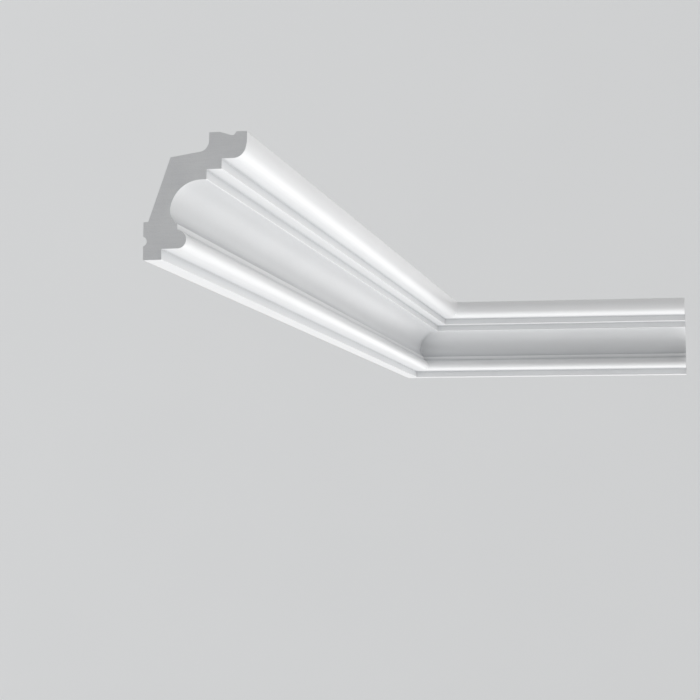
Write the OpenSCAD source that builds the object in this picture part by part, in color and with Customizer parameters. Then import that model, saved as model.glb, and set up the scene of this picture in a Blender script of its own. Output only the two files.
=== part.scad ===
// Inside-corner cornice moulding: two lengths of one classical section, mitred at 45 degrees.
// Millimetres. The origin is the point of the room's corner at the moulding's lower edge.
// The left length runs along -Y on the wall x = 0 and the right length along +X on the wall
// y = 0. +Z is up. "Out" sizes are distances from the wall the length is fixed to.

/* [Overall] */
// Drop of the moulding down the wall
height = 90; // [82:0.5:120]
// Reach of the moulding along the ceiling
projection = 75.2; // [62.7:0.1:95.2]
// Long length, from the room's corner to its square end
left_run = 1146; // [200:1:2400]
// Short length, from the room's corner to its square end
right_run = 358; // [150:1:2400]
// Space left between the two mitre faces
mitre_clearance = 0; // [0:0.05:1]

/* [Ovolo at the ceiling] */
// Height of the ovolo, from its soffit to the ceiling
ovolo_height = 19; // [15:0.5:23]
// Distance the ovolo stands out beyond the upper step
ovolo_overhang = 18.4; // [10:0.1:22]
// Plain upright band above the ovolo's curve
ovolo_band = 4.8; // [1:0.1:7.5]
// Radius of the long curve of the ovolo's face
ovolo_face_radius = 27; // [20:0.5:34]
// Radius of the tight curve of the ovolo's nose
ovolo_nose_radius = 9.4; // [6:0.1:11]

/* [Square steps under the ovolo] */
// Height of the upper step
upper_step_height = 7.3; // [4:0.1:10]
// Height of the lower step
lower_step_height = 7.2; // [4:0.1:10]
// Distance from the lower step's face out to the upper step's face
step_depth = 10.9; // [6:0.1:15]

/* [Cove] */
// Distance of the cove's deepest line from the wall
cove_back_out = 19.5; // [17:0.1:22]
// Radius of the cove's tight lower curve
cove_lower_radius = 11.3; // [9:0.1:13]
// Angle above level at which the lower curve passes into the long upper one
cove_blend_angle = 8; // [2:0.5:14]

/* [Foot, bead and fillet] */
// Height of the plain foot at the bottom
foot_height = 7.8; // [4:0.1:9]
// Distance of the foot's face from the wall
foot_out = 13.4; // [8:0.1:18]
// Height of the bead above the foot
bead_height = 13.3; // [12.7:0.1:14]
// Distance of the bead's nose from the wall
bead_out = 31.5; // [30.5:0.1:33]
// Radius of the bead's round nose
bead_nose_radius = 6.3; // [5.6:0.1:6.6]
// Radius of the flatter curve on top of the bead
bead_top_radius = 9.2; // [8:0.1:14]
// Height of the small fillet between the bead and the cove
fillet_height = 4.3; // [2:0.1:6]
// Distance of the fillet's face from the wall
fillet_out = 24.9; // [22:0.1:28]

/* [Hollow back] */
// Height of the face that lies on the wall
wall_face_height = 27.2; // [22:0.1:34]
// Width of the ledge on top of the wall face
ledge_width = 3.5; // [1:0.1:6]
// Distance of the shoulder, where the back turns forward, from the wall
shoulder_out = 19.4; // [14:0.1:24]
// Drop of the shoulder below the ceiling
shoulder_drop = 16.9; // [12:0.1:21]
// Rise of the back from the shoulder to the ceiling face, in degrees above level
back_slope = 8.4; // [2:0.1:11]
// Width of the face that lies on the ceiling
ceiling_face_width = 27.6; // [23:0.1:32]
// Radius of the inside corner behind the ceiling face
back_corner_radius = 8; // [3:0.5:10]

/* [Glue grooves] */
// Height of the wall groove's middle above the bottom
wall_groove_up = 13.3; // [8:0.1:18]
// Radius of the wall groove
wall_groove_radius = 3.4; // [3:0.1:5]
// Depth of the wall groove
wall_groove_depth = 2.6; // [1:0.1:3.2]
// Distance from the moulding's front to the ceiling groove
ceiling_groove_setback = 7.7; // [5:0.1:9]
// Width of the ceiling groove at its mouth
ceiling_groove_width = 12; // [9:0.1:14]
// Distance from the ceiling groove's front edge back to its deepest line
ceiling_groove_low = 3.1; // [2.8:0.1:4.5]
// Depth of the ceiling groove
ceiling_groove_depth = 2.7; // [1.5:0.1:3.5]
// Radius of the ceiling groove's bottom
ceiling_groove_radius = 2.4; // [1:0.1:2.6]

/* [Hidden] */

// Segments in a full circle
smooth = 144;
// Distance a cutting shape runs on past the solid
past = 10;
// Overlap where one line runs smoothly into the next, so that no sliver is left between them
weld = 0.001;
// Distance a slice of a disc runs on into the shape beside it
lap = 1;

moulding_white = [0.93, 0.93, 0.91];

// Direction of an angle in the section.
function dir(angle) = [cos(angle), sin(angle)];

fillet_bottom = foot_height + bead_height;
cove_bottom = fillet_bottom + fillet_height;
ovolo_soffit = height - ovolo_height;
upper_step_bottom = ovolo_soffit - upper_step_height;
cove_top = upper_step_bottom - lower_step_height;
upper_step_out = projection - ovolo_overhang;
lower_step_out = upper_step_out - step_depth;
ceiling_face_out = projection - ceiling_face_width;

// The bead's top arc runs from the fillet's foot into the nose without a corner.
bead_nose_centre = [bead_out - bead_nose_radius, foot_height + bead_nose_radius];
bead_span = [fillet_out, fillet_bottom] - bead_nose_centre;
bead_radius_step = bead_top_radius - bead_nose_radius;
bead_cosine = (pow(bead_top_radius, 2) - pow(bead_radius_step, 2) - pow(norm(bead_span), 2))
    / (2 * bead_radius_step * norm(bead_span));
bead_turn = atan2(bead_span.y, bead_span.x) - acos(bead_cosine);
bead_top_centre = bead_nose_centre - bead_radius_step * dir(bead_turn);
bead_blend_z = bead_nose_centre.y + bead_nose_radius * sin(bead_turn);

// The cove's lower arc passes through the fillet's top edge.
cove_lower_x = cove_back_out + cove_lower_radius;
cove_lower_rise = sqrt(pow(cove_lower_radius, 2) - pow(cove_lower_x - fillet_out, 2));
cove_lower_centre = [cove_lower_x, cove_bottom + cove_lower_rise];

// The upper arc leaves the lower one without a corner and ends level with the cove's top.
cove_blend = dir(-cove_blend_angle);
cove_upper_radius = (cove_top - cove_lower_centre.y + cove_lower_radius * cove_blend.y)
    / (1 + cove_blend.y);
cove_upper_centre = cove_lower_centre + (cove_upper_radius - cove_lower_radius) * cove_blend;
cove_blend_z = cove_lower_centre.y - cove_lower_radius * cove_blend.y;

// The ovolo's two arcs meet without a corner too.
ovolo_face_centre = [projection - ovolo_face_radius, height - ovolo_band];
ovolo_nose_z = ovolo_soffit + ovolo_nose_radius;
ovolo_radius_step = ovolo_face_radius - ovolo_nose_radius;
ovolo_turn = asin((ovolo_nose_z - ovolo_face_centre.y) / ovolo_radius_step);
ovolo_nose_centre = ovolo_face_centre + ovolo_radius_step * dir(ovolo_turn);
ovolo_blend_z = ovolo_face_centre.y + ovolo_face_radius * sin(ovolo_turn);

// The back slopes up from the shoulder and turns up to the ceiling in a round.
shoulder = [shoulder_out, height - shoulder_drop];
back_rise = (ceiling_face_out - shoulder_out) * tan(back_slope);
back_corner = [ceiling_face_out, shoulder.y + back_rise];
back_tangent = back_corner_radius / tan((90 + back_slope) / 2);

// The ceiling groove is a round bottom with a long side and a steep side touching it.
groove_front = [projection - ceiling_groove_setback, height];
groove_back = groove_front - [ceiling_groove_width, 0];
groove_centre = groove_front
    - [ceiling_groove_low, ceiling_groove_depth - ceiling_groove_radius];

// Point where a line from p touches a circle, on the side given by side = 1 or -1.
function touch(p, centre, radius, side) =
    let (away = centre - p)
    let (angle = atan2(away.y, away.x) + side * asin(radius / norm(away)))
    p + sqrt(pow(norm(away), 2) - pow(radius, 2)) * dir(angle);

// Part of a disc that lies between two corners of a rectangle.
module disc_slice(centre, radius, low, high) {
    intersection() {
        translate(centre) circle(r = radius, $fn = smooth);
        translate(low) square(high - low);
    }
}

// The section with square corners where the curves go.
module section_blank() {
    polygon([
        [0, 0],
        [foot_out, 0],
        [foot_out, foot_height],
        [bead_nose_centre.x, foot_height],
        bead_nose_centre,
        [fillet_out, bead_nose_centre.y],
        [fillet_out, cove_bottom],
        cove_lower_centre,
        [cove_lower_centre.x, cove_blend_z + lap],
        [lower_step_out, cove_blend_z + lap],
        [lower_step_out, upper_step_bottom],
        [upper_step_out, upper_step_bottom],
        [upper_step_out, ovolo_soffit],
        [ovolo_nose_centre.x, ovolo_soffit],
        [ovolo_nose_centre.x, ovolo_face_centre.y],
        [projection, ovolo_face_centre.y],
        [projection, height],
        [0, height]
    ]);
}

module ovolo() {
    inner = ovolo_nose_centre.x - lap;
    outer = projection + lap;
    disc_slice(
        ovolo_nose_centre,
        ovolo_nose_radius + weld,
        [inner, ovolo_soffit - lap],
        [outer, ovolo_blend_z + lap]
    );
    disc_slice(
        ovolo_face_centre,
        ovolo_face_radius,
        [inner, ovolo_blend_z],
        [outer, ovolo_face_centre.y + lap]
    );
}

module bead() {
    translate(bead_nose_centre) circle(r = bead_nose_radius + weld, $fn = smooth);
    disc_slice(
        bead_top_centre,
        bead_top_radius,
        [fillet_out - lap, bead_blend_z],
        [bead_out, fillet_bottom + lap]
    );
}

module cove() {
    translate(cove_lower_centre) circle(r = cove_lower_radius + weld, $fn = smooth);
    disc_slice(
        cove_upper_centre,
        cove_upper_radius,
        [0, cove_blend_z],
        [cove_upper_centre.x + cove_upper_radius, cove_top + lap]
    );
    translate([cove_upper_centre.x, cove_blend_z])
        square([projection, cove_top - cove_blend_z]);
}

module hollow() {
    round_centre = back_corner + [-back_corner_radius, back_tangent];
    polygon([
        [-past, wall_face_height],
        [ledge_width, wall_face_height],
        shoulder,
        back_corner - back_tangent * dir(back_slope) + weld * dir(90 + back_slope),
        round_centre,
        back_corner + [0, back_tangent],
        [ceiling_face_out, height + past],
        [-past, height + past]
    ]);
    translate(round_centre) circle(r = back_corner_radius, $fn = smooth);
}

module wall_groove() {
    translate([wall_groove_depth - wall_groove_radius, wall_groove_up])
        circle(r = wall_groove_radius, $fn = smooth);
}

module ceiling_groove() {
    translate(groove_centre) circle(r = ceiling_groove_radius, $fn = smooth);
    polygon([
        groove_back + [0, past],
        groove_back,
        touch(groove_back, groove_centre, ceiling_groove_radius - weld, -1),
        groove_centre,
        touch(groove_front, groove_centre, ceiling_groove_radius - weld, 1),
        groove_front,
        groove_front + [0, past]
    ]);
}

// The section of the moulding: x is the distance from the wall, y is up.
module section() {
    difference() {
        union() {
            section_blank();
            ovolo();
            bead();
        }
        cove();
        hollow();
        wall_groove();
        ceiling_groove();
    }
}

// Everything beyond the mitre face, seen from above.
module beyond_mitre() {
    reach = projection + past;
    back_off = mitre_clearance / sqrt(2);
    translate([0, -back_off, -past]) linear_extrude(height + 2 * past)
        polygon([[-past, past], [reach, -reach], [reach, past]]);
}

// A length on the wall x = 0, from the corner along -Y, square at the end and mitred at the corner.
module mitred_length(run) {
    difference() {
        rotate([90, 0, 0]) linear_extrude(run) section();
        beyond_mitre();
    }
}

module left_length() {
    color(moulding_white) mitred_length(left_run);
}

module right_length() {
    color(moulding_white) mirror([1, 1, 0]) mitred_length(right_run);
}

left_length();
right_length();
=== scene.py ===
"""Looks for the inside-corner cornice moulding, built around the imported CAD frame. Metres."""

import math

import bpy
import numpy as np
from mathutils import Matrix, Vector
from mathutils.geometry import delaunay_2d_cdt


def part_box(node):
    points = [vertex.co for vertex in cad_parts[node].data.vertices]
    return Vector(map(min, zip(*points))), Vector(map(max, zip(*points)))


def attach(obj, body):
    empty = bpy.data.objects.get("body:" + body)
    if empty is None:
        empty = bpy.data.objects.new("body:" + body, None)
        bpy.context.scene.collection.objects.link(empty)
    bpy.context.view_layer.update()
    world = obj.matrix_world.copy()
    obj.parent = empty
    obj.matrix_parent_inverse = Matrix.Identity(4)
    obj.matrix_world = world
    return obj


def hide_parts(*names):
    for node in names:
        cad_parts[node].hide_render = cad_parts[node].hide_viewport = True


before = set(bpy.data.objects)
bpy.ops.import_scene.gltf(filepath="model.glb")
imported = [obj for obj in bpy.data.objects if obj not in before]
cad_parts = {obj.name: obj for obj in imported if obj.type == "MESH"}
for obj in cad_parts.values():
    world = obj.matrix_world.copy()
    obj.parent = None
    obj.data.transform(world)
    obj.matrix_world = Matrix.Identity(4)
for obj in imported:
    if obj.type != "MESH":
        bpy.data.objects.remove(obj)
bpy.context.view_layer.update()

MM = 0.001
left_low, left_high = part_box("left_length")
_, right_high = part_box("right_length")
LEFT_RUN = -left_low.y
RIGHT_RUN = right_high.x
HEIGHT = left_high.z / MM
PROJECTION = left_high.x / MM

# ------------------------------------------------------------------ the section's named sizes, mm
OVOLO_HEIGHT = 19.0
OVOLO_OVERHANG = 18.4
OVOLO_BAND = 4.8
OVOLO_FACE_R = 27.0
OVOLO_NOSE_R = 9.4
UPPER_STEP = 7.3
LOWER_STEP = 7.2
STEP_DEPTH = 10.9
COVE_BACK = 19.5
COVE_LOWER_R = 11.3
COVE_BLEND = 8.0
FOOT_HEIGHT = 7.8
FOOT_OUT = 13.4
BEAD_HEIGHT = 13.3
BEAD_OUT = 31.5
BEAD_NOSE_R = 6.3
BEAD_TOP_R = 9.2
FILLET_HEIGHT = 4.3
FILLET_OUT = 24.9
WALL_FACE = 27.2
LEDGE = 3.5
SHOULDER_OUT = 19.4
SHOULDER_DROP = 16.9
BACK_SLOPE = 8.4
CEILING_FACE = 27.6
BACK_CORNER_R = 8.0
WALL_GROOVE_UP = 13.3
WALL_GROOVE_R = 3.4
WALL_GROOVE_DEPTH = 2.6
CEILING_GROOVE_SETBACK = 7.7
CEILING_GROOVE_WIDTH = 12.0
CEILING_GROOVE_LOW = 3.1
CEILING_GROOVE_DEPTH = 2.7
CEILING_GROOVE_R = 2.4

# Heights and reaches that follow from them.
FILLET_LOW = FOOT_HEIGHT + BEAD_HEIGHT
COVE_LOW = FILLET_LOW + FILLET_HEIGHT
SOFFIT = HEIGHT - OVOLO_HEIGHT
UPPER_STEP_LOW = SOFFIT - UPPER_STEP
COVE_TOP = UPPER_STEP_LOW - LOWER_STEP
UPPER_STEP_OUT = PROJECTION - OVOLO_OVERHANG
LOWER_STEP_OUT = UPPER_STEP_OUT - STEP_DEPTH
CEILING_OUT = PROJECTION - CEILING_FACE

# Radii of the moulded arrises and inner corners.
FRONT_ARRIS = 0.45
FRONT_INNER = 0.55
BACK_ARRIS = 0.5
BACK_INNER = 0.8
# The moulding's denser skin, seen as a rim round the sawn ends.
SKIN = 0.3

# ------------------------------------------------------------------ how finely it is drawn
# Extra points on each straight run, this far from its ends, mm.
NEAR_CORNER = (0.5, 1.1, 1.9, 3.0)
# Degrees between points on an arc, and on a rounded corner. Each has three parts at least.
ARC_STEP = 3.0
CORNER_STEP = 15
FEWEST_PARTS = 3
# Two runs that turn by less than this, in degrees, meet without a corner.
SMOOTH_TURN = 3
# Points nearer than this are one point, mm.
SAME_POINT = 1e-4
# How near to each other the triangles' points may come, mm.
TRIANGLE_TOLERANCE = 1e-6
# Parts that each length has between its square end and its mitre.
LENGTH_PARTS = 16

# ------------------------------------------------------------------ shade painted into the white, mm
# Rays from just in front of each point find how far off the rest of the section is; the nearer it
# is, the more shade is painted.
PAINTED_SHADE_RAYS = 64
PAINTED_SHADE_REACH = 34.0
RAY_START = 0.05
# A ray and an edge whose cross product is under this count as parallel.
PARALLEL = 1e-9
# The sine by which an inner corner turns back, at least.
INNER_TURN_SINE = 0.2
# How far the shade painted into the inner corners spreads, and how dark it is.
CREASE_SHADE_WIDTH = 0.9
CREASE_PAINTED_SHADE = 0.5
# Shade is painted into the cove as well, where the ovolo would shade it, and most of all at its
# foot.
COVE_PAINTED_SHADE = 0.19
COVE_FOOT_PAINTED_SHADE = 0.42
COVE_FOOT_SHADE_WIDTH = 1.4
# The flat at the cove's top is at COVE_TOP to within this, and counts as part of the cove.
ROUNDING = 0.005


# ------------------------------------------------------------------ plane geometry
def direction(degrees):
    return Vector((math.cos(math.radians(degrees)), math.sin(math.radians(degrees))))


def angle_of(v):
    return math.degrees(math.atan2(v.y, v.x))


def touch(p, centre, radius, side):
    """Point where a line from p touches a circle, to the side given by side = 1 or -1."""
    away = centre - p
    angle = angle_of(away) + side * math.degrees(math.asin(radius / away.length))
    return p + direction(angle) * math.sqrt(away.length_squared - radius * radius)


class Line:
    """A straight run of the section."""

    def __init__(self, first, last):
        self.first = Vector(first)
        along = Vector(last) - self.first
        self.length = along.length
        self.tangent = along / self.length

    def at(self, s):
        """Point and tangent at the distance s along the run."""
        return self.first + self.tangent * s, self.tangent

    def stops(self, start, end):
        """Distances of the points from start to end, closer together near both."""
        middle = (start + end) / 2
        near = [start + d for d in NEAR_CORNER if start + d < middle]
        return [start, *near, *[start + end - d for d in reversed(near)], end]


class Arc:
    """An arc round centre from angle a0 to a1, in degrees. a1 < a0 runs clockwise."""

    def __init__(self, centre, radius, a0, a1):
        self.centre = centre
        self.radius = radius
        self.a0 = a0
        self.turn = 1.0 if a1 > a0 else -1.0
        self.length = abs(math.radians(a1 - a0)) * radius

    def at(self, s):
        """Point and tangent at the distance s along the run."""
        out = direction(self.a0 + self.turn * math.degrees(s / self.radius))
        return self.centre + out * self.radius, Vector((-out.y, out.x)) * self.turn

    def stops(self, start, end):
        """Distances of the points from start to end, evenly spaced."""
        degrees = math.degrees((end - start) / self.radius)
        parts = max(FEWEST_PARTS, int(degrees / ARC_STEP + 0.5))
        return [start + (end - start) * k / parts for k in range(parts + 1)]


# ------------------------------------------------------------------ the section's members
def foot():
    return [
        Line((0, 0), (FOOT_OUT, 0)),
        Line((FOOT_OUT, 0), (FOOT_OUT, FOOT_HEIGHT)),
    ]


def bead():
    """The bead's soffit, its round nose, and the flatter curve from there up to the fillet."""
    nose = Vector((BEAD_OUT - BEAD_NOSE_R, FOOT_HEIGHT + BEAD_NOSE_R))
    end = Vector((FILLET_OUT, FILLET_LOW))
    span = end - nose
    step = BEAD_TOP_R - BEAD_NOSE_R
    cosine = (BEAD_TOP_R**2 - step**2 - span.length_squared) / (2 * step * span.length)
    turn = angle_of(span) - math.degrees(math.acos(cosine))
    top = nose - direction(turn) * step
    return [
        Line((FOOT_OUT, FOOT_HEIGHT), (nose.x, FOOT_HEIGHT)),
        Arc(nose, BEAD_NOSE_R, -90, turn),
        Arc(top, BEAD_TOP_R, turn, angle_of(end - top)),
    ]


def fillet():
    return [Line((FILLET_OUT, FILLET_LOW), (FILLET_OUT, COVE_LOW))]


def cove():
    """The cove's tight lower curve, its long upper one, and the flat out to the lower step."""
    lower_x = COVE_BACK + COVE_LOWER_R
    rise = math.sqrt(COVE_LOWER_R**2 - (lower_x - FILLET_OUT) ** 2)
    lower = Vector((lower_x, COVE_LOW + rise))
    blend = direction(-COVE_BLEND)
    upper_r = (COVE_TOP - lower.y + COVE_LOWER_R * blend.y) / (1 + blend.y)
    upper = lower + blend * (upper_r - COVE_LOWER_R)
    begin = angle_of(Vector((FILLET_OUT, COVE_LOW)) - lower) % 360
    return [
        Arc(lower, COVE_LOWER_R, begin, 180 - COVE_BLEND),
        Arc(upper, upper_r, 180 - COVE_BLEND, 90),
        Line((upper.x, COVE_TOP), (LOWER_STEP_OUT, COVE_TOP)),
    ]


def steps():
    return [
        Line((LOWER_STEP_OUT, COVE_TOP), (LOWER_STEP_OUT, UPPER_STEP_LOW)),
        Line((LOWER_STEP_OUT, UPPER_STEP_LOW), (UPPER_STEP_OUT, UPPER_STEP_LOW)),
        Line((UPPER_STEP_OUT, UPPER_STEP_LOW), (UPPER_STEP_OUT, SOFFIT)),
    ]


def ovolo():
    """The ovolo's soffit, its nose, its long face, and the plain band above."""
    face = Vector((PROJECTION - OVOLO_FACE_R, HEIGHT - OVOLO_BAND))
    step = OVOLO_FACE_R - OVOLO_NOSE_R
    turn = math.degrees(math.asin((SOFFIT + OVOLO_NOSE_R - face.y) / step))
    nose = face + direction(turn) * step
    return [
        Line((UPPER_STEP_OUT, SOFFIT), (nose.x, SOFFIT)),
        Arc(nose, OVOLO_NOSE_R, -90, turn),
        Arc(face, OVOLO_FACE_R, turn, 0),
        Line((PROJECTION, face.y), (PROJECTION, HEIGHT)),
    ]


def ceiling_face():
    """The face on the ceiling, from the front to the back, with its groove."""
    front = Vector((PROJECTION - CEILING_GROOVE_SETBACK, HEIGHT))
    back = front - Vector((CEILING_GROOVE_WIDTH, 0))
    middle = front - Vector((CEILING_GROOVE_LOW, CEILING_GROOVE_DEPTH - CEILING_GROOVE_R))
    front_touch = touch(front, middle, CEILING_GROOVE_R, 1)
    back_touch = touch(back, middle, CEILING_GROOVE_R, -1)
    begin = angle_of(front_touch - middle) % 360
    end = angle_of(back_touch - middle) % 360
    return [
        Line((PROJECTION, HEIGHT), front),
        Line(front, front_touch),
        Arc(middle, CEILING_GROOVE_R, begin, end),
        Line(back_touch, back),
        Line(back, (CEILING_OUT, HEIGHT)),
    ]


def hollow():
    """The hollow back, from the ceiling face down to the ledge above the wall face."""
    shoulder = Vector((SHOULDER_OUT, HEIGHT - SHOULDER_DROP))
    rise = (CEILING_OUT - SHOULDER_OUT) * math.tan(math.radians(BACK_SLOPE))
    corner = Vector((CEILING_OUT, shoulder.y + rise))
    tangent = BACK_CORNER_R / math.tan(math.radians((90 + BACK_SLOPE) / 2))
    centre = corner + Vector((-BACK_CORNER_R, tangent))
    return [
        Line((CEILING_OUT, HEIGHT), (CEILING_OUT, centre.y)),
        Arc(centre, BACK_CORNER_R, 0, -(90 - BACK_SLOPE)),
        Line(corner - direction(BACK_SLOPE) * tangent, shoulder),
        Line(shoulder, (LEDGE, WALL_FACE)),
        Line((LEDGE, WALL_FACE), (0, WALL_FACE)),
    ]


def wall_face():
    """The face on the wall, from the ledge down to the foot, with its groove."""
    middle = Vector((WALL_GROOVE_DEPTH - WALL_GROOVE_R, WALL_GROOVE_UP))
    half = math.degrees(math.acos(-middle.x / WALL_GROOVE_R))
    half_mouth = WALL_GROOVE_R * math.sin(math.radians(half))
    return [
        Line((0, WALL_FACE), (0, WALL_GROOVE_UP + half_mouth)),
        Arc(middle, WALL_GROOVE_R, half, -half),
        Line((0, WALL_GROOVE_UP - half_mouth), (0, 0)),
    ]


def section_runs():
    """The section's runs counter-clockwise from the foot's back corner, as (run, is_front)."""
    front = foot() + bead() + fillet() + cove() + steps() + ovolo()
    back = ceiling_face() + hollow() + wall_face()
    return [(run, True) for run in front] + [(run, False) for run in back]


def corner_radius(turn, is_front):
    """Radius that rounds a corner, from its turn in radians, above 0 at an arris."""
    if abs(turn) < math.radians(SMOOTH_TURN):
        return 0.0
    if turn > 0:
        return FRONT_ARRIS if is_front else BACK_ARRIS
    return FRONT_INNER if is_front else BACK_INNER


def rounded_section():
    """Points, outward normals and front flags round the section, with each corner rounded."""
    runs = section_runs()
    turns = []
    radii = []
    trims = []
    for (run, is_front), (after, after_front) in zip(runs, runs[1:] + runs[:1]):
        _, t0 = run.at(run.length)
        _, t1 = after.at(0)
        turn = math.atan2(t0.x * t1.y - t0.y * t1.x, t0.dot(t1))
        radius = corner_radius(turn, is_front and after_front)
        turns.append(turn)
        radii.append(radius)
        trims.append(radius * math.tan(abs(turn) / 2))
    found = []

    def add(p, t, is_front):
        if found and (found[-1][0] - p).length < SAME_POINT:
            return
        found.append((p.copy(), Vector((t.y, -t.x)).normalized(), is_front))

    for i, (run, is_front) in enumerate(runs):
        end = run.length - trims[i]
        for stop in run.stops(trims[i - 1], end):
            p, t = run.at(stop)
            add(p, t, is_front)
        if radii[i] > 0:
            p, t = run.at(end)
            side = 1.0 if turns[i] > 0 else -1.0
            centre = p + Vector((-t.y, t.x)) * radii[i] * side
            begin = angle_of(p - centre)
            degrees = math.degrees(turns[i])
            parts = max(FEWEST_PARTS, int(abs(degrees) / CORNER_STEP + 0.5))
            for k in range(1, parts):
                out = direction(begin + degrees * k / parts)
                add(centre + out * radii[i], Vector((-out.y, out.x)) * side, is_front)
    if (found[0][0] - found[-1][0]).length < SAME_POINT:
        found.pop()
    return zip(*found)


def inner_corners():
    """The section's inner corners on the moulded face."""
    runs = [run for run, is_front in section_runs() if is_front]
    painted_shade_corners = []
    for run, after in zip(runs, runs[1:]):
        p, t0 = run.at(run.length)
        _, t1 = after.at(0)
        if t0.x * t1.y - t0.y * t1.x < -INNER_TURN_SINE:
            painted_shade_corners.append(p)
    return painted_shade_corners


def painted_shade_at(index):
    """How much shade is painted into the white at a point of the section, from 0 in the open: how
    near the rest of the section is in front of it, and more in the inner corners and in the cove."""
    origin = np.array(points[index] + normals[index] * RAY_START)
    start = np.array(points) - origin
    edge = np.roll(start, -1, axis=0) - start
    leans = np.arcsin(2 * (np.arange(PAINTED_SHADE_RAYS) + 0.5) / PAINTED_SHADE_RAYS - 1)
    turns = leans + math.radians(angle_of(normals[index]))
    ray = np.stack([np.cos(turns), np.sin(turns)], 1)[:, None]
    cross = ray[..., 0] * edge[:, 1] - ray[..., 1] * edge[:, 0]
    cross = np.where(np.abs(cross) < PARALLEL, PARALLEL, cross)
    along = (start[:, 0] * edge[:, 1] - start[:, 1] * edge[:, 0]) / cross
    part = (start[:, 0] * ray[..., 1] - start[:, 1] * ray[..., 0]) / cross
    met = (along > 0) & (along < PAINTED_SHADE_REACH) & (part >= 0) & (part <= 1)
    nearest = np.where(met, along, PAINTED_SHADE_REACH).min(1)
    # Painted shade: from the nearness of the section, more in the inner corners, and more in the
    # cove.
    crease = max(math.exp(-(points[index] - c).length / CREASE_SHADE_WIDTH) for c in creases)
    tone = float((1 - nearest / PAINTED_SHADE_REACH).mean()) + CREASE_PAINTED_SHADE * crease
    above_foot = points[index].y - COVE_LOW
    if 0 < above_foot < COVE_TOP - COVE_LOW + ROUNDING:
        tone += COVE_PAINTED_SHADE + COVE_FOOT_PAINTED_SHADE * math.exp(-above_foot / COVE_FOOT_SHADE_WIDTH)
    return tone


def plane_triangles(outline):
    """Triangles filling a closed outline, as triples of indices into it."""
    loop = list(range(len(outline)))
    edges = [(i, (i + 1) % len(outline)) for i in loop]
    filled = delaunay_2d_cdt(outline, edges, [loop], 1, TRIANGLE_TOLERANCE)
    verts, _, faces, _, _, _ = filled
    if len(verts) != len(outline):
        raise ValueError("the section's outline crosses itself")
    return [tuple(face) for face in faces]


# ------------------------------------------------------------------ meshes
# Places in each length's list of materials.
FRONT = 0
CUT = 1
BACK = 2

points, normals, fronts = rounded_section()
COUNT = len(points)
NEXT = [(i + 1) % COUNT for i in range(COUNT)]
creases = inner_corners()
# The shade painted into the white at each point of the section.
painted_shade_levels = [painted_shade_at(i) for i in range(COUNT)]
core = [p - n * SKIN for p, n in zip(points, normals)]
core_triangles = plane_triangles(core)
mitre_triangles = plane_triangles(points)


def build_length(name, run, place, materials):
    """One length as a closed mesh: the section swept from its sawn square end to its mitre.
    place maps the distance out from the wall, the distance from the corner and the height, in
    metres, into the frame."""
    verts = []
    faces = []
    slots = []
    corner_normals = []
    painted_shade = []

    def turned(out, along, up):
        return (place(out, along, up) - place(0, 0, 0)).normalized()

    def put(face, slot, face_normals):
        """Adds a face, turned round if it would look the other way from its normals."""
        a, b, c = (verts[v] for v in face[:3])
        flat = (b - a).cross(c - a)
        want = sum(face_normals, Vector((0, 0, 0)))
        if flat.dot(want) < 0:
            face = face[::-1]
            face_normals = face_normals[::-1]
        faces.append(face)
        slots.append(slot)
        corner_normals.extend(face_normals)

    # The faces along the length, ring by ring.
    side = [turned(n.x, 0, n.y) for n in normals]
    for part in range(LENGTH_PARTS + 1):
        for p in points:
            along = run + (p.x * MM - run) * (part / LENGTH_PARTS)
            verts.append(place(p.x * MM, along, p.y * MM))
        painted_shade.extend(painted_shade_levels)
    mitre = LENGTH_PARTS * COUNT
    for ring in range(0, mitre, COUNT):
        after = ring + COUNT
        for i, k in enumerate(NEXT):
            put(
                [ring + i, ring + k, after + k, after + i],
                FRONT if fronts[i] and fronts[k] else BACK,
                [side[i], side[k], side[k], side[i]],
            )

    # The sawn end: a rim of skin round the core.
    outward = turned(0, 1, 0)
    inside = len(verts)
    for p in core:
        verts.append(place(p.x * MM, run, p.y * MM))
    painted_shade.extend([0.0] * COUNT)
    for i, k in enumerate(NEXT):
        put([i, k, inside + k, inside + i], CUT, [outward] * 4)
    for triangle in core_triangles:
        put([inside + v for v in triangle], CUT, [outward] * 3)

    # The mitre.
    toward = turned(1, -1, 0)
    for triangle in mitre_triangles:
        put([mitre + v for v in triangle], BACK, [toward] * 3)

    mesh = bpy.data.meshes.new(name)
    mesh.from_pydata(verts, [], faces)
    for material in materials:
        mesh.materials.append(material)
    mesh.polygons.foreach_set("material_index", slots)
    mesh.polygons.foreach_set("use_smooth", [True] * len(faces))
    mesh.update()
    mesh.normals_split_custom_set(corner_normals)
    # Each point's painted shade, kept on the mesh for the white's colour.
    mesh.attributes.new("painted_shade", "FLOAT", "POINT").data.foreach_set("value", painted_shade)
    obj = bpy.data.objects.new(name, mesh)
    bpy.context.scene.collection.objects.link(obj)
    return obj


# ------------------------------------------------------------------ material nodes
# The Mix node has sockets of one name for numbers, vectors and colours. These are the colours'.
MIX_A = 6
MIX_B = 7
MIX_RESULT = 2


def grey(level):
    return (level, level, level)


def node_material(name):
    mat = bpy.data.materials.new(name)
    mat.use_nodes = True
    tree = mat.node_tree
    tree.nodes.clear()
    output = tree.nodes.new("ShaderNodeOutputMaterial")
    shader = tree.nodes.new("ShaderNodeBsdfPrincipled")
    tree.links.new(shader.outputs["BSDF"], output.inputs["Surface"])
    coords = tree.nodes.new("ShaderNodeTexCoord")
    return mat, tree, shader, coords.outputs["Object"]


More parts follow.
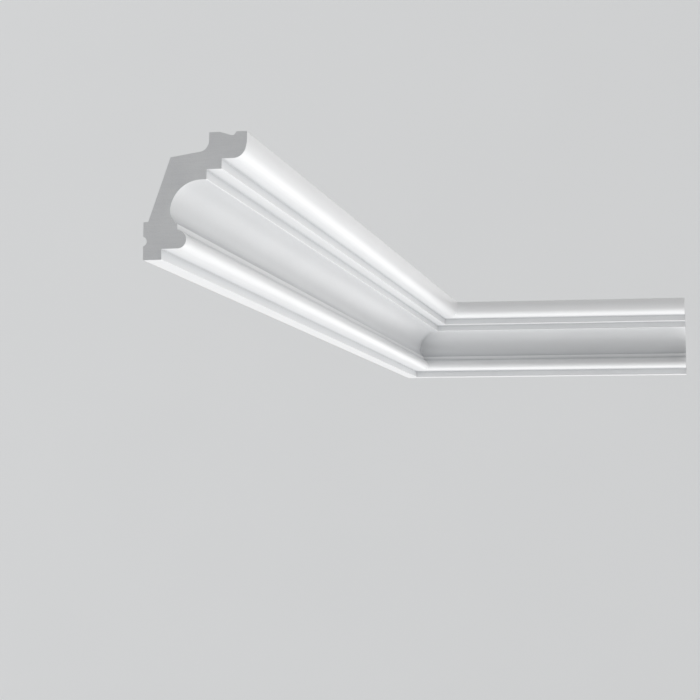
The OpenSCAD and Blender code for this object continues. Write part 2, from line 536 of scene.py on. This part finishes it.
def noise(tree, coords, per_metre, detail=3.0, rough=0.5, stretch=(1, 1, 1)):
    mapping = tree.nodes.new("ShaderNodeMapping")
    mapping.inputs["Scale"].default_value = stretch
    tree.links.new(coords, mapping.inputs["Vector"])
    texture = tree.nodes.new("ShaderNodeTexNoise")
    texture.inputs["Scale"].default_value = per_metre
    texture.inputs["Detail"].default_value = detail
    texture.inputs["Roughness"].default_value = rough
    tree.links.new(mapping.outputs["Vector"], texture.inputs["Vector"])
    return texture.outputs[0]


def cells(tree, coords, per_metre):
    """Distance to the middle of the nearest cell, for foam cells and pores."""
    texture = tree.nodes.new("ShaderNodeTexVoronoi")
    texture.inputs["Scale"].default_value = per_metre
    tree.links.new(coords, texture.inputs["Vector"])
    return texture.outputs["Distance"]


def ramp(tree, value, stops):
    node = tree.nodes.new("ShaderNodeValToRGB")
    while len(node.color_ramp.elements) < len(stops):
        node.color_ramp.elements.new(0.5)
    for element, (at, colour) in zip(node.color_ramp.elements, stops):
        element.position = at
        element.color = (*colour, 1.0)
    tree.links.new(value, node.inputs["Fac"])
    return node.outputs["Color"]


def map_range(tree, value, low, high, from_low=0.0, from_high=1.0):
    node = tree.nodes.new("ShaderNodeMapRange")
    node.inputs["From Min"].default_value = from_low
    node.inputs["From Max"].default_value = from_high
    node.inputs["To Min"].default_value = low
    node.inputs["To Max"].default_value = high
    tree.links.new(value, node.inputs["Value"])
    return node.outputs["Result"]


def arithmetic(tree, operation, a, b):
    node = tree.nodes.new("ShaderNodeMath")
    node.operation = operation
    for socket, value in zip(node.inputs, (a, b)):
        if isinstance(value, (int, float)):
            socket.default_value = value
        else:
            tree.links.new(value, socket)
    return node.outputs["Value"]


def multiply(tree, colour, by):
    node = tree.nodes.new("ShaderNodeMix")
    node.data_type = "RGBA"
    node.blend_type = "MULTIPLY"
    node.inputs[0].default_value = 1.0
    tree.links.new(colour, node.inputs[MIX_A])
    tree.links.new(by, node.inputs[MIX_B])
    return node.outputs[MIX_RESULT]


def bump(tree, shader, height, strength, depth_mm, before=None):
    """Bumps from height on the shader, over those that before gives, if there are any."""
    node = tree.nodes.new("ShaderNodeBump")
    node.inputs["Strength"].default_value = strength
    node.inputs["Distance"].default_value = depth_mm * MM
    tree.links.new(height, node.inputs["Height"])
    if before is not None:
        tree.links.new(before, node.inputs["Normal"])
    tree.links.new(node.outputs["Normal"], shader.inputs["Normal"])
    return node.outputs["Normal"]


# Reads the shade painted at each point of the mesh.
def painted_shade_value(tree):
    node = tree.nodes.new("ShaderNodeAttribute")
    node.attribute_name = "painted_shade"
    return node.outputs["Fac"]


# ------------------------------------------------------------------ materials
def primed_white():
    """Factory primer on the moulded face: white, smooth, with a faint orange peel and a fine
    grain, and shade painted into its colour in its inner corners and in the cove."""
    mat, tree, shader, at = node_material("primed_white")
    broad = noise(tree, at, per_metre=9, detail=2.0)
    peel = noise(tree, at, per_metre=420, detail=2.0)
    grain = noise(tree, at, per_metre=2600, detail=2.0)
    tone = ramp(tree, broad, [(0.3, (0.785, 0.79, 0.797)), (0.7, (0.808, 0.814, 0.82))])
    specks = ramp(tree, grain, [(0.3, grey(0.975)), (0.62, grey(1.0))])
    # Painted shade: the white is darkened in its inner corners and in the cove.
    painted_shade_tones = [
        (0.0, grey(1.0)),
        (0.1, (0.94, 0.942, 0.945)),
        (0.3, (0.848, 0.853, 0.858)),
        (0.75, (0.67, 0.68, 0.69)),
    ]
    painted_shade_corners = ramp(tree, painted_shade_value(tree), painted_shade_tones)
    colour = multiply(tree, multiply(tree, tone, specks), painted_shade_corners)
    tree.links.new(colour, shader.inputs["Base Color"])
    tree.links.new(map_range(tree, peel, 0.4, 0.48, 0.3, 0.7), shader.inputs["Roughness"])
    shader.inputs["Specular IOR Level"].default_value = 0.5
    soft = bump(tree, shader, peel, strength=0.35, depth_mm=0.05)
    bump(tree, shader, grain, strength=0.3, depth_mm=0.02, before=soft)
    return mat


def sawn_core():
    """The sawn square ends: dense grey-white foam, with its cut cells and faint saw lines."""
    mat, tree, shader, at = node_material("sawn_core")
    small = cells(tree, at, per_metre=1500)
    large = cells(tree, at, per_metre=620)
    saw = noise(tree, at, per_metre=60, detail=4.0, rough=0.6, stretch=(1.0, 1.0, 26.0))
    broad = noise(tree, at, per_metre=45)
    tone = ramp(tree, broad, [(0.3, (0.665, 0.675, 0.69)), (0.7, (0.715, 0.725, 0.735))])
    pores = ramp(tree, small, [(0.0, grey(0.86)), (0.35, grey(1.0))])
    lines = ramp(tree, saw, [(0.35, grey(0.965)), (0.6, grey(1.0))])
    colour = multiply(tree, multiply(tree, tone, pores), lines)
    tree.links.new(colour, shader.inputs["Base Color"])
    tree.links.new(map_range(tree, saw, 0.78, 0.92), shader.inputs["Roughness"])
    shader.inputs["Specular IOR Level"].default_value = 0.2
    height = arithmetic(tree, "ADD", arithmetic(tree, "MULTIPLY", small, 0.6), large)
    pitted = bump(tree, shader, height, strength=0.35, depth_mm=0.12)
    bump(tree, shader, saw, strength=0.25, depth_mm=0.12, before=pitted)
    return mat


def raw_back():
    """The unprimed back: off-white foam as it left the mould, a little uneven, with small pores."""
    mat, tree, shader, at = node_material("raw_back")
    broad = noise(tree, at, per_metre=26)
    small = cells(tree, at, per_metre=900)
    wave = noise(tree, at, per_metre=160)
    tone = ramp(tree, broad, [(0.3, (0.725, 0.72, 0.695)), (0.7, (0.75, 0.745, 0.72))])
    pores = ramp(tree, small, [(0.0, (0.84, 0.84, 0.83)), (0.28, grey(1.0))])
    tree.links.new(multiply(tree, tone, pores), shader.inputs["Base Color"])
    tree.links.new(map_range(tree, wave, 0.66, 0.84, 0.3, 0.7), shader.inputs["Roughness"])
    shader.inputs["Specular IOR Level"].default_value = 0.3
    uneven = bump(tree, shader, wave, strength=0.4, depth_mm=0.25)
    bump(tree, shader, small, strength=0.3, depth_mm=0.1, before=uneven)
    return mat


# ------------------------------------------------------------------ the two lengths
def left_place(out, along, up):
    return Vector((out, -along, up))


def right_place(out, along, up):
    return Vector((along, -out, up))


# In the order of FRONT, CUT and BACK.
moulding_materials = [primed_white(), sawn_core(), raw_back()]
for node, run, place in (
    ("left_length", LEFT_RUN, left_place),
    ("right_length", RIGHT_RUN, right_place),
):
    piece = build_length(node + "_moulding", run, place, moulding_materials)
    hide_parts(node)
    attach(piece, "root")


# ------------------------------------------------------------------ floor and backdrop
FLOOR_Z = -2.4
STUDIO_CENTRE = Vector((0.18, -0.55, 0.0))
STUDIO_RADIUS = 5.4
STUDIO_COVE = 1.6
STUDIO_TOP = 4.5
# Parts of each quarter turn of its profile, and of the way round.
STUDIO_TURN_PARTS = 12
STUDIO_AROUND = 96


def studio_profile():
    """Radius and height along the paper, from the middle of the floor to the middle overhead."""
    flat = STUDIO_RADIUS - STUDIO_COVE
    profile = [(0.0, FLOOR_Z)]
    for middle, start in ((FLOOR_Z + STUDIO_COVE, -90), (STUDIO_TOP, 0)):
        for k in range(STUDIO_TURN_PARTS + 1):
            out = direction(start + 90 * k / STUDIO_TURN_PARTS)
            profile.append((flat + out.x * STUDIO_COVE, middle + out.y * STUDIO_COVE))
    profile.append((0.0, STUDIO_TOP + STUDIO_COVE))
    return profile


def studio_paper():
    mat, tree, shader, at = node_material("studio_paper")
    broad = noise(tree, at, per_metre=2.0)
    tone = ramp(tree, broad, [(0.3, (0.345, 0.35, 0.355)), (0.7, (0.355, 0.36, 0.365))])
    tree.links.new(tone, shader.inputs["Base Color"])
    shader.inputs["Roughness"].default_value = 1.0
    shader.inputs["Specular IOR Level"].default_value = 0.0
    shader.inputs["Emission Color"].default_value = (0.985, 0.995, 1.0, 1.0)
    shader.inputs["Emission Strength"].default_value = 0.42
    return mat


def studio():
    """A plain pale floor that turns up into a backdrop all round, seen by the camera only."""
    profile = studio_profile()
    verts = []
    faces = []
    for radius, z in profile:
        for k in range(STUDIO_AROUND):
            angle = 2 * math.pi * k / STUDIO_AROUND
            x = radius * math.cos(angle)
            y = radius * math.sin(angle)
            verts.append(STUDIO_CENTRE + Vector((x, y, z)))
    for ring in range(0, (len(profile) - 1) * STUDIO_AROUND, STUDIO_AROUND):
        after = ring + STUDIO_AROUND
        for k in range(STUDIO_AROUND):
            n = (k + 1) % STUDIO_AROUND
            faces.append((ring + k, ring + n, after + n, after + k))
    mesh = bpy.data.meshes.new("studio")
    mesh.from_pydata(verts, [], faces)
    mesh.flip_normals()
    mesh.polygons.foreach_set("use_smooth", [True] * len(faces))
    mesh.materials.append(studio_paper())
    obj = bpy.data.objects.new("studio", mesh)
    bpy.context.scene.collection.objects.link(obj)
    obj.visible_diffuse = False
    obj.visible_glossy = False
    obj.visible_transmission = False
    obj.visible_shadow = False


# ------------------------------------------------------------------ light
# Name, the way from the moulding to the light, the light's breadth in degrees, and its strength.
# The last two mostly light the top and the back.
SOFT_LIGHTS = [
    ("from_below", (0.0, 0.0, -1.0), 60, 1.75),
    ("from_far_right", (0.5, 0.85, -0.1), 60, 0.98),
    ("from_right", (1.0, -0.15, -0.2), 60, 0.62),
    ("from_front", (0.1, -0.9, -0.35), 60, 0.45),
    ("from_above", (0.0, 0.0, 1.0), 50, 1.4),
    ("from_behind", (-1.0, 0.25, 0.1), 60, 0.9),
]
# The room's own light is stronger from below, as under a ceiling. Its strength changes over the
# directions whose upward part is between these two.
AMBIENT_BELOW = 0.5
AMBIENT_ABOVE = 0.1
AMBIENT_FROM = -0.2
AMBIENT_TO = 0.3


def soft_light(name, toward, breadth, strength):
    lamp = bpy.data.lights.new(name, "SUN")
    lamp.angle = math.radians(breadth)
    lamp.energy = strength
    obj = bpy.data.objects.new(name, lamp)
    obj.rotation_mode = "QUATERNION"
    obj.rotation_quaternion = Vector(toward).to_track_quat("Z", "Y")
    bpy.context.scene.collection.objects.link(obj)


def room_light():
    world = bpy.data.worlds.new("studio_world")
    bpy.context.scene.world = world
    world.use_nodes = True
    tree = world.node_tree
    background = tree.nodes["Background"]
    background.inputs["Color"].default_value = (1, 1, 1, 1)
    coords = tree.nodes.new("ShaderNodeTexCoord")
    way = tree.nodes.new("ShaderNodeSeparateXYZ")
    tree.links.new(coords.outputs["Generated"], way.inputs["Vector"])
    strength = map_range(
        tree, way.outputs["Z"], AMBIENT_BELOW, AMBIENT_ABOVE, AMBIENT_FROM, AMBIENT_TO
    )
    tree.links.new(strength, background.inputs["Strength"])


studio()
for light in SOFT_LIGHTS:
    soft_light(*light)
room_light()

# ------------------------------------------------------------------ camera
# The camera stands in the room, below the moulding and 2.4 m out from the short length's wall.
CAMERA_PLACE = Vector((0.39839, -2.40170, -0.17984))
CAMERA_YAW = math.radians(-11.2137)
CAMERA_PITCH = math.radians(5.0854)
CAMERA_ROLL = math.radians(0.1547)
CAMERA_LENS_MM = 95.99
CAMERA_SENSOR_MM = 36.0
# Nothing nearer or farther than this is drawn.
CAMERA_NEAREST = 0.01
CAMERA_FARTHEST = 60.0


def camera_turn():
    """The camera's axes as a matrix, from its yaw, pitch and roll."""
    forward = Vector(
        (
            math.sin(CAMERA_YAW) * math.cos(CAMERA_PITCH),
            math.cos(CAMERA_YAW) * math.cos(CAMERA_PITCH),
            math.sin(CAMERA_PITCH),
        )
    )
    level = Vector((math.cos(CAMERA_YAW), -math.sin(CAMERA_YAW), 0))
    upright = level.cross(forward)
    right_way = math.cos(CAMERA_ROLL) * level + math.sin(CAMERA_ROLL) * upright
    up_way = math.cos(CAMERA_ROLL) * upright - math.sin(CAMERA_ROLL) * level
    return Matrix((right_way, up_way, -forward)).transposed().to_4x4()


camera_data = bpy.data.cameras.new("camera")
camera_data.sensor_width = CAMERA_SENSOR_MM
camera_data.lens = CAMERA_LENS_MM
camera_data.clip_start = CAMERA_NEAREST
camera_data.clip_end = CAMERA_FARTHEST
camera = bpy.data.objects.new("camera", camera_data)
camera.matrix_world = Matrix.Translation(CAMERA_PLACE) @ camera_turn()
bpy.context.scene.collection.objects.link(camera)
bpy.context.scene.camera = camera
bpy.context.scene.view_settings.view_transform = "Standard"
